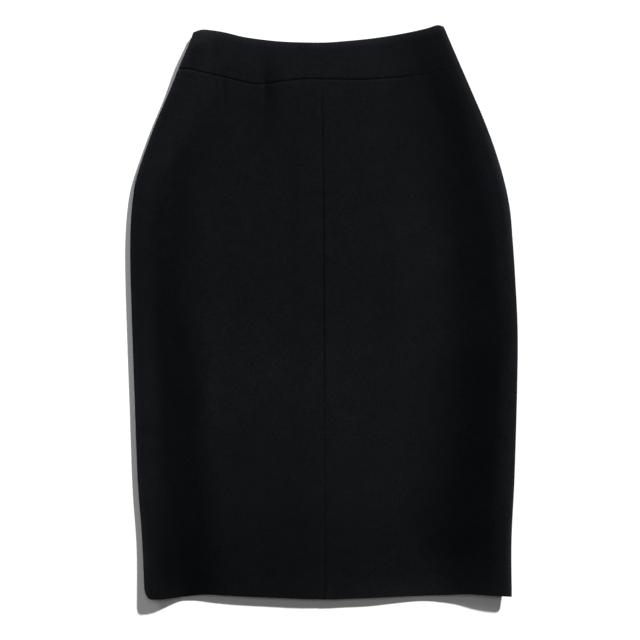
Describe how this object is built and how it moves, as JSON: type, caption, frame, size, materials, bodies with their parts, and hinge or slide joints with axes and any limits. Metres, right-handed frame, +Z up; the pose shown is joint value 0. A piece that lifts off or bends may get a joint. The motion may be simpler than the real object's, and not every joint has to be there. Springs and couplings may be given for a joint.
{
  "type": "pencil skirt",
  "caption": "Pencil skirt laid flat on its back: contoured waistband, centre-front seam, rounded side folds, plain deep hem and a concealed centre-back zip with a swinging pull tab.",
  "frame": {"origin": "middle of the outline of the laid skirt, on the surface that it rests on", "axes": "+X across the skirt to the viewer's right, +Y from hem to waist, +Z up from the surface"},
  "size_m": [0.4733, 0.7003, 0.0162],
  "materials": {
    "cloth": "matt wool crepe with a faint nap",
    "zip_tape": "woven tape",
    "zip_coil": "satin nylon coil",
    "zip_metal": "black enamel"
  },
  "bodies": {
    "skirt": {"front_band": "cloth", "back_band_left": "cloth", "back_band_right": "cloth", "front_panel_left": "cloth", "front_panel_right": "cloth", "back_panel_left": "cloth", "back_panel_right": "cloth", "zip_tape_left": "zip_tape", "zip_tape_right": "zip_tape", "zip_chain": "zip_coil", "zip_slider": "zip_metal"},
    "pull_tab": {"zip_pull": "zip_metal"}
  },
  "joints": [
    {"name": "pull_swing", "type": "hinge", "parent": "skirt", "child": "pull_tab", "pos_m": [-0.0023, 0.31385, 0.00125], "axis": [1, 0, 0], "range_deg": [0, 170]}
  ]
}
